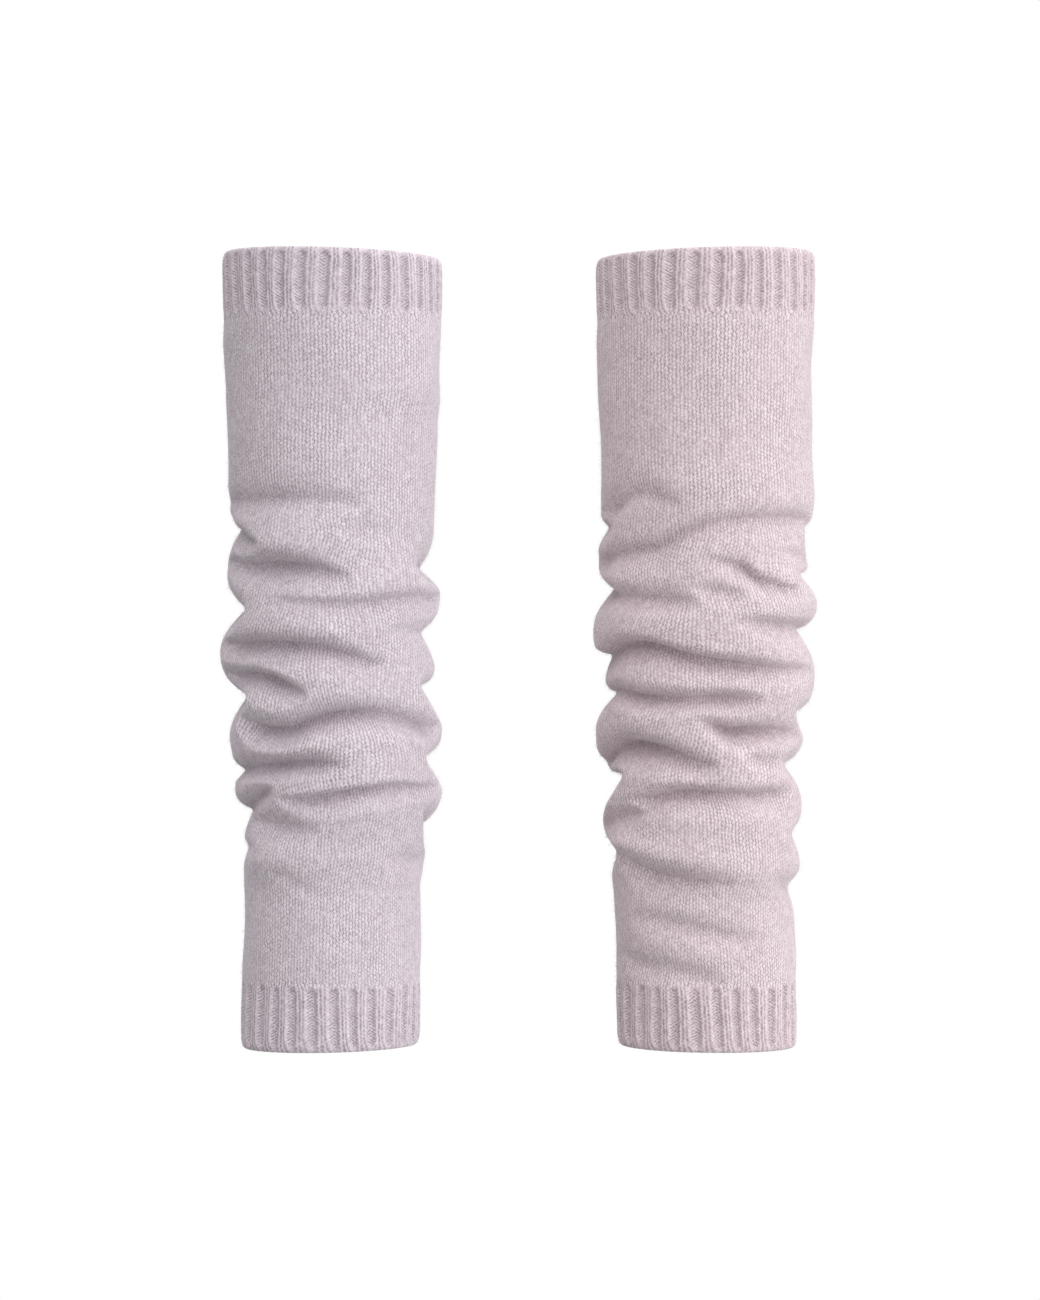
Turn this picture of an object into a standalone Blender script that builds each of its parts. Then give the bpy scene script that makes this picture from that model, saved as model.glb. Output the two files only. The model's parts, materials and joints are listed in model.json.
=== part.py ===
"""A pair of knitted arm warmers, filled out and slouched as on two raised-up forearms, with no wearer.

Each warmer is a tube of cloth in three pieces: a ribbed upper cuff, a plain body that is longer than its
place and so lies in slouch folds, and a ribbed lower cuff. Lengths in the tables are millimetres, and
azimuths are degrees round the tube: 0 is the front (-Y), 90 is +X, 180 the back.
The origin is the middle of the first warmer's upper cuff, on the arm's axis.
"""
from collections import namedtuple

import bmesh
import bpy
import numpy as np

# Driving dimensions
MM = 0.001
PAIR_NAME = "arm_warmers"
PAIR_SPACING = 162.0        # from one arm's axis to the other's
CUFF_TOP = 14.0             # the upper cuff is gripped at its middle, height 0
UPPER_SEAM = -14.0
LOWER_SEAM = -299.2
CUFF_BOTTOM = -328.2
SEAM_GAP = 0.3
WALL = 2.2                  # knitted cloth
DEPTH_RATIO = 0.95          # front to back, against side to side
CREASE_BOTTOM = 3.6         # radius at the bottom of a deep crease
SOFT_BOTTOM = 5.0           # and of the shallowest one
SEGMENTS = 26               # faces round each tube
CUFF_RINGS = 2

# Rings down the body are close together only where the cloth is slouched
RingZone = namedtuple("RingZone", "top bottom rings")
BODY_RINGS = (
    RingZone(top=UPPER_SEAM, bottom=-88.0, rings=3),
    RingZone(top=-88.0, bottom=-262.0, rings=34),
    RingZone(top=-262.0, bottom=LOWER_SEAM, rings=3),
)

# How far the cloth reaches to each side of the arm's axis, over the tops of its folds
Section = namedtuple("Section", "height left right")
FIRST_SECTIONS = (
    Section(14, -47.6, 47.4),
    Section(-14, -47.2, 47.2),
    Section(-46, -46.1, 46.7),
    Section(-59, -46.0, 45.3),
    Section(-96, -45.6, 44.4),
    Section(-116, -45.5, 44.2),
    Section(-131, -45.6, 46.6),
    Section(-154, -48.8, 43.6),
    Section(-189, -45.6, 47.2),
    Section(-216, -42.2, 47.8),
    Section(-243, -37.8, 41.4),
    Section(-258, -38.3, 38.8),
    Section(-299, -39.3, 37.9),
    Section(-328, -39.6, 37.6),
)
SECOND_SECTIONS = (
    Section(14, -47.6, 47.2),
    Section(-14, -47.2, 46.9),
    Section(-39, -46.9, 46.0),
    Section(-70, -46.3, 45.8),
    Section(-92, -45.8, 46.9),
    Section(-115, -46.6, 44.2),
    Section(-136, -46.8, 47.9),
    Section(-149, -49.0, 46.6),
    Section(-168, -46.6, 46.9),
    Section(-193, -48.2, 42.4),
    Section(-222, -46.2, 41.9),
    Section(-249, -40.8, 41.0),
    Section(-265, -40.0, 37.6),
    Section(-299, -38.9, 38.9),
    Section(-328, -38.2, 39.2),
)

# A crease runs round the tube from azimuth start to end, from one height to the other, with its middle
# hanging below the straight line by sag. It is depth deep, the cloth above it rolls out over the reach
# above, the cloth below it over the reach below, and its ends fade over those shares of its length.
Fold = namedtuple("Fold", "start end start_height end_height sag depth above below fade_in fade_out")
FIRST_FOLDS = (
    # front, from the top down
    Fold(-105, 30, -93, -93.5, 0, 2.5, 14, 14, 0.35, 0.40),
    Fold(5, 80, -103.5, -111, 0, 1.5, 10, 10, 0.40, 0.40),
    Fold(-130, -38, -102.5, -109, 0, 5.5, 9, 12, 0.35, 0.45),
    Fold(-76, 10, -118, -127.5, -1.5, 6.0, 9, 13, 0.30, 0.22),
    Fold(50, 130, -122.5, -123, 0, 8.0, 16, 7, 0.35, 0.30),
    Fold(-135, -45, -138, -139, 0, 9.0, 13, 15, 0.30, 0.45),
    Fold(-38, 76, -139.5, -135, 0, 4.5, 8, 13, 0.25, 0.25),
    Fold(28, 130, -147, -149, 0, 6.0, 11, 11, 0.40, 0.30),
    Fold(-88, 27, -156, -165, -6, 6.0, 9, 13, 0.25, 0.20),
    Fold(-130, -14, -176, -177.5, 0, 8.5, 16, 15, 0.30, 0.22),
    Fold(50, 130, -173, -174, 0, 7.5, 13, 14, 0.40, 0.30),
    Fold(-92, -6, -191, -189, 5, 5.5, 11, 12, 0.30, 0.25),
    Fold(-24, 84, -193, -193, -9, 4.5, 6, 12, 0.25, 0.25),
    Fold(-130, 6, -209, -209.5, -2, 7.2, 8, 10, 0.30, 0.20),
    Fold(46, 130, -203.5, -205, 0, 7.0, 14, 12, 0.40, 0.30),
    Fold(-62, -30, -221.5, -216, 0, 4.0, 6, 7, 0.40, 0.40),
    Fold(-130, -55, -227, -226, 0, 4.5, 9, 8, 0.35, 0.40),
    Fold(-24, 72, -222.5, -216.5, -1.5, 3.8, 5, 11, 0.25, 0.30),
    Fold(46, 132, -231, -233, 0, 6.0, 17, 11, 0.35, 0.30),
    Fold(-60, -10, -235, -233.5, 0, 2.5, 12, 12, 0.40, 0.40),
    Fold(-130, -50, -243, -243.5, 0, 3.0, 8, 9, 0.35, 0.40),
    Fold(28, 105, -246, -254, 0, 2.0, 10, 10, 0.40, 0.40),
    # back, from the top down
    Fold(120, 240, -91, -100, 0, 2.5, 12, 14, 0.40, 0.40),
    Fold(110, 210, -123, -115, 0, 6.0, 10, 12, 0.30, 0.30),
    Fold(150, 262, -147, -138, 2, 6.5, 12, 12, 0.30, 0.30),
    Fold(100, 215, -149, -162, -3, 6.0, 10, 12, 0.30, 0.25),
    Fold(165, 260, -169, -177, 0, 7.5, 13, 11, 0.30, 0.30),
    Fold(105, 200, -174, -187, 2, 7.0, 10, 13, 0.30, 0.30),
    Fold(150, 256, -200, -209, 0, 7.5, 11, 10, 0.30, 0.30),
    Fold(108, 190, -205, -214, 0, 5.5, 12, 10, 0.30, 0.30),
    Fold(140, 252, -235, -227, 0, 4.5, 9, 9, 0.35, 0.30),
    Fold(105, 225, -233, -249, 0, 5.0, 14, 11, 0.30, 0.40),
)
SECOND_FOLDS = (
    # front, from the top down
    Fold(-90, -5, -95, -100.5, 0, 4.0, 20, 15, 0.30, 0.35),
    Fold(-125, -55, -106, -108.5, 0, 3.0, 8, 8, 0.35, 0.40),
    Fold(-78, 130, -117, -106, -10, 6.0, 12, 15, 0.22, 0.30),
    Fold(2, 66, -117, -134, 1, 5.0, 8, 11, 0.30, 0.30),
    Fold(58, 130, -124, -125, 0, 6.0, 9, 12, 0.35, 0.30),
    Fold(-125, 0, -129, -139.5, 0, 5.5, 15, 13, 0.30, 0.25),
    Fold(-125, -62, -130, -132, 0, 6.0, 10, 9, 0.30, 0.40),
    Fold(-10, 28, -132.5, -131.5, 0, 2.5, 8, 8, 0.40, 0.40),
    Fold(-5, 135, -146, -153, -1, 8.0, 10, 12, 0.50, 0.30),
    Fold(-130, 82, -162, -169, -6, 6.0, 9, 13, 0.22, 0.25),
    Fold(-130, -60, -168, -169, 0, 4.5, 9, 9, 0.30, 0.40),
    Fold(-130, 32, -175, -179.5, 1, 7.0, 6, 12, 0.30, 0.20),
    Fold(55, 128, -183.5, -185, 0, 6.0, 9, 10, 0.35, 0.30),
    Fold(-4, 68, -188, -193.5, 2, 4.0, 7, 10, 0.25, 0.30),
    Fold(-130, 9, -220, -211.5, -9, 9.5, 17, 13, 0.25, 0.20),
    Fold(32, 130, -206.5, -208.5, 0, 8.0, 14, 12, 0.40, 0.30),
    Fold(-48, 68, -225, -221.5, -4.5, 5.5, 8, 13, 0.22, 0.25),
    Fold(-82, -36, -229, -227.5, 0, 4.0, 8, 8, 0.40, 0.40),
    Fold(46, 130, -235.5, -238.5, 0, 5.5, 11, 11, 0.35, 0.30),
    Fold(-130, -44, -241, -240.5, 0, 5.5, 12, 11, 0.30, 0.40),
    Fold(-12, 52, -241, -243.5, 0, 1.5, 9, 9, 0.40, 0.40),
    Fold(-62, 40, -245, -258, 1.2, 3.8, 12, 13, 0.30, 0.50),
    Fold(40, 130, -256, -259, 0, 4.5, 14, 11, 0.40, 0.30),
    # back, from the top down
    Fold(112, 238, -104, -97, 0, 3.5, 12, 14, 0.35, 0.40),
    Fold(160, 262, -122, -129, 0, 5.0, 12, 12, 0.30, 0.30),
    Fold(102, 215, -125, -137, 2, 6.0, 10, 12, 0.30, 0.30),
    Fold(105, 228, -151, -143, -2, 6.5, 10, 12, 0.30, 0.30),
    Fold(170, 262, -169, -162, 0, 6.0, 10, 12, 0.30, 0.30),
    Fold(100, 200, -185, -173, 0, 6.5, 10, 12, 0.30, 0.30),
    Fold(140, 255, -192, -176, 3, 7.0, 9, 12, 0.30, 0.30),
    Fold(100, 215, -206, -221, 0, 7.5, 13, 12, 0.30, 0.30),
    Fold(160, 260, -204, -213, 0, 8.0, 13, 12, 0.30, 0.30),
    Fold(105, 242, -236, -229, 3, 5.5, 11, 11, 0.30, 0.35),
    Fold(150, 252, -250, -242, 0, 5.0, 10, 11, 0.35, 0.35),
    Fold(110, 222, -259, -267, 0, 3.5, 12, 11, 0.35, 0.45),
)

# A tilt is how far a rim drops from the middle of its cuff to the +X side
Warmer = namedtuple("Warmer", "name axis_x sections folds top_tilt bottom_tilt colour")
WARMERS = (
    Warmer("left", 0.0, FIRST_SECTIONS, FIRST_FOLDS, 1.5, -0.8, "#C6BAC3"),
    Warmer("right", PAIR_SPACING, SECOND_SECTIONS, SECOND_FOLDS, -1.4, 0.4, "#CCBEC3"),
)
KNIT_ROUGHNESS = 0.95


def smooth_step(t):
    """3t^2 - 2t^3, held at 0 and 1 outside its range."""
    t = np.clip(t, 0.0, 1.0)
    return t * t * (3.0 - 2.0 * t)


def reach_to_sides(sections, height):
    """Left and right reach at each height, by a smooth step from one section to the next."""
    rows = np.array(sections)[::-1]
    index = np.clip(np.searchsorted(rows[:, 0], height) - 1, 0, len(rows) - 2)
    t = smooth_step((height - rows[index, 0]) / (rows[index + 1, 0] - rows[index, 0]))
    return [rows[index, column] * (1 - t) + rows[index + 1, column] * t for column in (1, 2)]


def rolled_edge(distance, reach, bottom):
    """A crease in section: 1 at its bottom, then a quarter round that levels out at its reach."""
    t = np.clip(np.sqrt(distance ** 2 + bottom ** 2) / reach, 0.0, 1.0)
    deepest = 1.0 - np.sqrt(1.0 - (1.0 - np.clip(bottom / reach, 0.0, 0.9)) ** 2)
    return (1.0 - np.sqrt(1.0 - (1.0 - t) ** 2)) / deepest


def crease_depth(folds, azimuth, height):
    """How deep the cloth lies in its creases: where two meet, nearly the deeper of them."""
    total = np.zeros(azimuth.shape)
    for fold in folds:
        along = ((azimuth - fold.start + 20.0) % 360.0 - 20.0) / (fold.end - fold.start)
        along = np.clip(along, -0.2, 1.2)
        path = fold.start_height + (fold.end_height - fold.start_height) * along
        path = path - 4.0 * fold.sag * along * (1.0 - along)
        strength = smooth_step(along / fold.fade_in) * smooth_step((1.0 - along) / fold.fade_out)
        reach = np.where(height >= path, fold.above, fold.below) * (0.45 + 0.55 * strength)
        bottom = max(CREASE_BOTTOM, SOFT_BOTTOM - 0.55 * fold.depth)
        total += (fold.depth * strength * rolled_edge(height - path, reach, bottom)) ** 3
    return np.cbrt(total)


def rim_drop(warmer, azimuth, height):
    """The tilt of both rims, which dies away across their cuffs."""
    top = np.clip((height - UPPER_SEAM) / (CUFF_TOP - UPPER_SEAM), 0.0, 1.0) * warmer.top_tilt
    bottom = np.clip((LOWER_SEAM - height) / (LOWER_SEAM - CUFF_BOTTOM), 0.0, 1.0) * warmer.bottom_tilt
    return (top + bottom) * np.sin(np.radians(azimuth))


def cloth_points(warmer, azimuth, height):
    """The outer face of the cloth: an ellipse between both reaches, less the depth of the creases."""
    left, right = reach_to_sides(warmer.sections, height)
    depth = crease_depth(warmer.folds, azimuth, height)
    half_width = (right - left) / 2
    turn = np.radians(azimuth)
    x = warmer.axis_x + (left + right) / 2 + (half_width - depth) * np.sin(turn)
    y = -(half_width * DEPTH_RATIO - depth) * np.cos(turn)
    z = height - rim_drop(warmer, azimuth, height)
    return np.stack((x, y, z), axis=-1) * MM


def linear_colour(hex_colour):
    """An sRGB hex colour as the linear values that a shader takes."""
    channels = [int(hex_colour[i:i + 2], 16) / 255 for i in (1, 3, 5)]
    return [c / 12.92 if c <= 0.04045 else ((c + 0.055) / 1.055) ** 2.4 for c in channels] + [1.0]


def knit_material(warmer):
    """Soft, matt knitted cloth in the warmer's own shade."""
    material = bpy.data.materials.new(warmer.name + "_knit")
    material.use_nodes = True
    shader = material.node_tree.nodes["Principled BSDF"]
    shader.inputs["Base Color"].default_value = linear_colour(warmer.colour)
    shader.inputs["Roughness"].default_value = KNIT_ROUGHNESS
    shader.inputs["Metallic"].default_value = 0.0
    return material


def tube_of_cloth(name, warmer, heights, material, collection):
    """A grid wrapped round the arm, one row of points to each height, with a wall inside it."""
    rings = len(heights) - 1
    mesh = bpy.data.meshes.new(name)
    grid = bmesh.new()
    bmesh.ops.create_grid(grid, x_segments=SEGMENTS, y_segments=rings, size=1.0)
    grid.to_mesh(mesh)
    points = np.empty(len(grid.verts) * 3)
    grid.free()
    mesh.vertices.foreach_get("co", points)
    points = points.reshape(-1, 3)
    azimuth = (points[:, 0] + 1.0) * 180.0
    row = np.rint((points[:, 1] + 1.0) / 2.0 * rings).astype(int)
    cloth = cloth_points(warmer, azimuth, np.array(heights)[row])
    mesh.vertices.foreach_set("co", cloth.ravel())

    joined = bmesh.new()
    joined.from_mesh(mesh)
    bmesh.ops.remove_doubles(joined, verts=joined.verts, dist=0.01 * MM)
    joined.to_mesh(mesh)
    joined.free()
    mesh.shade_smooth()
    mesh.materials.append(material)

    piece = bpy.data.objects.new(name, mesh)
    collection.objects.link(piece)
    wall = piece.modifiers.new("cloth_wall", "SOLIDIFY")
    wall.thickness = WALL * MM
    wall.offset = -1.0
    return piece


def evenly(bottom, top, rings):
    """Heights from bottom to top, with that many rings of faces between them."""
    return list(np.linspace(bottom, top, rings + 1))


def body_heights():
    """Heights up the body, from just above the lower seam to just below the upper one."""
    heights = []
    for zone in reversed(BODY_RINGS):
        heights += evenly(zone.bottom, zone.top, zone.rings)[:-1]
    heights.append(BODY_RINGS[0].top)
    heights[0] += SEAM_GAP / 2
    heights[-1] -= SEAM_GAP / 2
    return heights


def build_warmer(warmer, collection):
    """The three pieces of one warmer."""
    material = knit_material(warmer)
    upper = evenly(UPPER_SEAM + SEAM_GAP / 2, CUFF_TOP, CUFF_RINGS)
    lower = evenly(CUFF_BOTTOM, LOWER_SEAM - SEAM_GAP / 2, CUFF_RINGS)
    tube_of_cloth(warmer.name + "_upper_cuff", warmer, upper, material, collection)
    tube_of_cloth(warmer.name + "_body", warmer, body_heights(), material, collection)
    tube_of_cloth(warmer.name + "_lower_cuff", warmer, lower, material, collection)


def main():
    for old in list(bpy.data.objects):
        bpy.data.objects.remove(old, do_unlink=True)
    collection = bpy.data.collections.new(PAIR_NAME)
    bpy.context.scene.collection.children.link(collection)
    for warmer in WARMERS:
        build_warmer(warmer, collection)


main()
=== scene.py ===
"""The finish of a pair of knitted arm warmers: folded cloth, ribbed cuffs, stitches and nap."""
from collections import namedtuple
from functools import partial
import json
import math

import bpy
from bpy.props import FloatProperty, FloatVectorProperty, IntProperty, PointerProperty
import numpy as np
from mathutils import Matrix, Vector


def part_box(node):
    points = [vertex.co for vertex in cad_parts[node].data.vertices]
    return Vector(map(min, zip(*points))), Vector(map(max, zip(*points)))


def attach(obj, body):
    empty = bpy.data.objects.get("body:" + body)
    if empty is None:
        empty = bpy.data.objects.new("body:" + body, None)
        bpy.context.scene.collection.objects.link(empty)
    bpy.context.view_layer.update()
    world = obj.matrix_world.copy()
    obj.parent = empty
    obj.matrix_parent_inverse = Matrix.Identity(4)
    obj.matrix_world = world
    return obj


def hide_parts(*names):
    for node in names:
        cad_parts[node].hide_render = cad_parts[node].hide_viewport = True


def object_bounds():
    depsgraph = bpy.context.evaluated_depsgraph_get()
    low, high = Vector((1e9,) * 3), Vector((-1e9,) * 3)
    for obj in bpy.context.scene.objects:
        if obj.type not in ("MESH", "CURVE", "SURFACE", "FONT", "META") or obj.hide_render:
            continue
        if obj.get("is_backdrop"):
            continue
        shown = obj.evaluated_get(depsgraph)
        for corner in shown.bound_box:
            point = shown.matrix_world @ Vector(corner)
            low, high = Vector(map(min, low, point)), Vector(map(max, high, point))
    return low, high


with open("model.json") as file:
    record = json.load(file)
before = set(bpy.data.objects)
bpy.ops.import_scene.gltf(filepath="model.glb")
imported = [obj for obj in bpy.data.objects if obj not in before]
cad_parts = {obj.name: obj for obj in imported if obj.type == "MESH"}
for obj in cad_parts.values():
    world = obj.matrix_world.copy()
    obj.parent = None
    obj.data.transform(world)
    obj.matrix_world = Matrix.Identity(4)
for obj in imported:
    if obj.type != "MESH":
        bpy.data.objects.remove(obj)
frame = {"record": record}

CAD_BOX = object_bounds()

bl_info = {
    "name": "Slouched arm warmers",
    "version": (1, 0, 0),
    "blender": (4, 5, 0),
    "location": "3D View > Sidebar > Arm warmers",
    "description": "Knits a pair of slouched arm warmers over their solids",
    "category": "Object",
}

# ----------------------------------------
# Sizes. Lengths here and in the tables are millimetres, azimuths are degrees round the tube: 0 is the front
# (-Y), 90 is +X, 180 the back.
MM = 0.001
WALL = 2.2                  # knitted cloth
DEPTH_RATIO = 0.95          # front to back, against side to side
DROOP = 0.42                # how far a bulge hangs over the crease below it, against its depth
CREASE_BOTTOM = 1.7         # radius at the bottom of a deep crease
SOFT_BOTTOM = 4.2           # and of the shallowest one
BOTTOM_PER_DEPTH = 0.55     # how much tighter a crease gets with each mm of its depth
CREASE_END = 0.45           # how far a crease still reaches where it ends, against where it is deepest
CREASE_SHADE_DEPTH = 10.0        # of a crease at whose bottom the painted shade is darkest
CALM = 12.0                 # the stretch next to a seam over which the body's unevenness grows
OVERLAP = 3.0               # of body and cuff at their seam
BODY_INSET = 0.1            # from the cloth's form to the body's outside
TUCK_START = 0.7            # how far past the seam the body's end thins, and over what height
TUCK_STRETCH = 1.2
TUCK_OUTSIDE = 1.0          # how much thinner it gets on each side
TUCK_INSIDE = 0.6

# The grids of points. Down the body, rows are close together where the cloth is slouched
BODY_COLUMNS = 316
SLOUCH_TOP = -86.0
SLOUCH_BOTTOM = -264.0
SLOUCH_SPACING = 0.95
PLAIN_SPACING = 2.0
INSIDE_SPACING = 3.5        # times as far apart inside
CUFF_SAMPLES_PER_RIB = 18
CUFF_ROW_HEIGHT = 0.62
CUFF_INSIDE_ROWS = 12
RIM_ROWS = 10

# Cuffs
RIM_DRAW = 1.1              # how far a rim draws in, over its last stretch
RIM_STRETCH = 4.0
RIB_STAND = 0.25            # how far a rib stands out of the cloth's form at mid height
CUFF_SINK = 0.3             # how far a cuff's end at the seam lies under the cloth's form
PANEL_START = 0.6           # how far past the seam a panel between ribs starts, at its middle
PANEL_START_STRETCH = 2.2   # and over what height it sinks
PANEL_END = 1.2             # the same where it ends, short of the rim
PANEL_END_STRETCH = 1.6
PANEL_UNEVEN = 0.8          # how much sooner or later one panel starts than another
ARCH = 2.0                  # how much later a panel starts at its sides than at its middle
PLAIN_TO_RIB = 2.5          # the height over which plain knitting turns into ribs
CURL_HEIGHT = 6.0           # of the lower end of a cuff, where its ribs lean aside
# Across one rib and its panel, in shares of their width, from the left edge of the rib's first leg of yarn
PANEL_MIDDLE = 0.74
PANEL_HALF = 0.26
LOOPS_START = 0.42          # where the panel's loops fade in, and over what share
LOOPS_FADE_IN = 0.14
LOOPS_FADE_OUT = 0.06
LOOPS_MIDDLE = 0.83         # the loops slant away from it to both sides
LEFT_FOOT = 0.15            # how far left of that edge the rib starts to rise, and over what share
LEFT_SLOPE = 0.25
RIGHT_FOOT = 0.85           # where it has sunk again, from its left foot, and over what share
RIGHT_SLOPE = 0.23

# Nap
ROOT_IN_CUFF = 1.4          # how deep a fibre's root lies: about as deep as the panels
ROOT_IN_BODY = 0.5
NAP_MARGIN = 0.8            # no fibre grows this close to a rim
NAP_REACH = 0.6             # how far every fibre stands off the cloth's form
NAP_EXTRA = 2.0             # and the most that chance adds to that
NAP_THROWN = 1.1            # how far a fibre is thrown aside, against straight out
NUDGE = 0.4                 # a small step round or up the cloth, to find its slope

# How far the cloth reaches to each side of the arm's axis, over the tops of its folds
Section = namedtuple("Section", "height left right")
LEFT_SECTIONS = (
    Section(14, -47.6, 47.4),
    Section(-14, -47.2, 47.2),
    Section(-46, -46.1, 46.7),
    Section(-59, -46.0, 45.3),
    Section(-96, -45.6, 44.4),
    Section(-116, -45.5, 44.2),
    Section(-131, -45.6, 46.6),
    Section(-154, -48.8, 43.6),
    Section(-189, -45.6, 47.2),
    Section(-216, -42.2, 47.8),
    Section(-243, -37.8, 41.4),
    Section(-260, -38.3, 37.9),
    Section(-299, -39.3, 37.9),
    Section(-328, -39.6, 37.6),
)
RIGHT_SECTIONS = (
    Section(14, -47.6, 47.2),
    Section(-14, -47.2, 46.9),
    Section(-39, -46.9, 46.0),
    Section(-70, -46.3, 45.8),
    Section(-92, -45.8, 46.9),
    Section(-115, -46.6, 44.2),
    Section(-136, -46.8, 47.9),
    Section(-149, -49.0, 46.6),
    Section(-168, -46.6, 46.9),
    Section(-193, -48.2, 42.4),
    Section(-222, -46.2, 41.9),
    Section(-249, -40.8, 41.0),
    Section(-265, -40.0, 37.6),
    Section(-299, -38.9, 38.9),
    Section(-328, -38.2, 39.2),
)

# A crease runs round the tube through its points: azimuth, height, and how deep it is there. The cloth above
# it rolls out over the reach above, the cloth below it over the reach below.
Crease = namedtuple("Crease", "above below points")
LEFT_CREASES = (
    # front, from the top down
    Crease(14, 9, ((-104, -93, 0), (-80, -93, 2.5), (-40, -93, 4), (-10, -93, 4), (5, -93.8, 2.5),
                   (24, -97, 0))),
    Crease(10, 10, ((0, -102.8, 0), (18, -105.8, 1.2), (35, -106.8, 0.8), (50, -107.8, 0))),
    Crease(18, 15, ((-135, -102, 0), (-98, -103.5, 6), (-76, -105, 5), (-62, -107, 0))),
    Crease(9, 13, ((-84, -104, 0), (-72, -105.5, 5), (-60, -107.5, 6), (-48, -110.3, 4.5), (-38, -112, 0))),
    Crease(12, 12, ((-95, -118.5, 0), (-75, -118.5, 3), (-55, -120.3, 6.5), (-38, -119.6, 9),
                    (-20, -120.3, 8.5), (-5, -122.3, 7), (5, -124.8, 4), (13, -126.8, 0))),
    Crease(20, 8, ((56, -119.8, 0), (70, -121, 6), (92, -121, 8.3), (130, -122, 0))),
    Crease(18, 16, ((-135, -136, 0), (-95, -137.2, 10.5), (-78, -138.2, 10.3), (-64, -139.5, 7.5),
                    (-50, -139.8, 0))),
    Crease(7, 12, ((-42, -133.3, 0), (-25, -135.8, 1.5), (-5, -137.3, 3), (20, -136.8, 4.2),
                   (40, -134.8, 4.2), (58, -133.8, 3.5), (75, -134.5, 2.5), (88, -134, 0))),
    Crease(15, 12, ((33, -148.8, 0), (50, -148.8, 1.5), (66, -149, 2), (90, -149.5, 7), (130, -149, 0))),
    Crease(13, 12.5, ((-86, -153.5, 0), (-74, -154, 3.5), (-60, -154.3, 7.5), (-40, -153.6, 10),
                      (-25, -153.6, 10.8), (-10, -154.4, 10), (5, -156.2, 8.6), (18, -159.6, 6.5),
                      (27, -162.1, 4.2), (36, -163.4, 0))),
    Crease(13, 11, ((-82, -166, 0), (-68, -167.5, 6), (-52, -166.8, 8.5), (-40, -167.8, 10),
                    (-28, -170.3, 9.5), (-18, -173.8, 5), (-11, -175.8, 0))),
    Crease(20, 17, ((-135, -174.5, 0), (-98, -175, 10), (-78, -176, 9), (-64, -177, 6), (-50, -177.3, 0))),
    Crease(16, 13, ((56, -172, 0), (66, -172.1, 3.5), (76, -172.9, 8), (92, -173.3, 12), (130, -173.5, 0))),
    Crease(15, 9.5, ((-68, -186, 0), (-52, -189, 8.7), (-38, -190.3, 10.8), (-26, -189.8, 11.3),
                     (-14, -186.8, 10.8), (0, -184.1, 11.2), (14, -183, 10.5), (30, -183.8, 8.2),
                     (50, -187, 6.6), (70, -190, 6), (84, -190.5, 0))),
    Crease(13, 5.5, ((-135, -209, 0), (-95, -209, 4), (-75, -208.5, 5.5), (-58, -206.8, 7.5),
                     (-40, -205.6, 9.5), (-22, -204.6, 9), (-8, -204.6, 7), (3, -205.8, 2),
                     (9, -206.8, 0))),
    Crease(16, 12, ((60, -203.3, 0), (74, -203.5, 6), (92, -203.5, 10), (130, -205, 0))),
    Crease(6, 9, ((-36, -220.8, 0), (-20, -219.8, 5.5), (0, -217.3, 7), (20, -215.3, 6.5),
                  (40, -214.3, 4.5), (58, -215.3, 3.5), (76, -216, 0))),
    Crease(11, 13, ((-135, -226, 0), (-95, -226.5, 5.5), (-72, -224.5, 6), (-58, -220.3, 6),
                    (-46, -217.8, 4.5), (-36, -216.3, 0))),
    Crease(14, 10, ((50, -222.8, 0), (62, -225.8, 1.2), (76, -231, 6), (92, -234, 7), (132, -235, 0))),
    Crease(16, 9, ((-76, -229, 0), (-58, -230, 3), (-42, -231.5, 4.2), (-28, -232.5, 4.2), (-18, -233.5, 2),
                   (-8, -234, 0))),
    Crease(8, 9, ((-130, -241, 0), (-90, -242, 2), (-66, -241.8, 1), (-54, -241.8, 0))),
    Crease(10, 10, ((26, -244.8, 0), (50, -246.3, 2), (75, -247, 2.5), (100, -247, 0))),
    Crease(7, 7, ((-45, -251.8, 0), (-30, -253.3, 0.7), (-12, -259.8, 0.6), (0, -261.8, 0))),
    # back, from the top down
    Crease(12, 14, ((120, -91, 0), (165, -94, 2.5), (200, -97, 2.5), (240, -100, 0))),
    Crease(10, 12, ((110, -123, 0), (145, -121, 6), (180, -117, 6), (210, -115, 0))),
    Crease(12, 12, ((150, -147, 0), (190, -146, 6.5), (228, -143, 6.5), (262, -138, 0))),
    Crease(10, 12, ((100, -149, 0), (140, -150, 6), (180, -155, 6), (215, -162, 0))),
    Crease(13, 11, ((165, -169, 0), (195, -171, 7.5), (230, -174, 7.5), (260, -177, 0))),
    Crease(10, 13, ((105, -174, 0), (140, -180, 7), (170, -185, 7), (200, -187, 0))),
    Crease(11, 10, ((150, -200, 0), (185, -203, 7.5), (222, -206, 7.5), (256, -209, 0))),
    Crease(12, 10, ((108, -205, 0), (135, -208, 5.5), (162, -211, 5.5), (190, -214, 0))),
    Crease(9, 9, ((140, -235, 0), (180, -232, 4.5), (215, -229, 4.5), (252, -227, 0))),
    Crease(14, 11, ((105, -233, 0), (145, -238, 5), (185, -244, 5), (225, -249, 0))),
)
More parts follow.
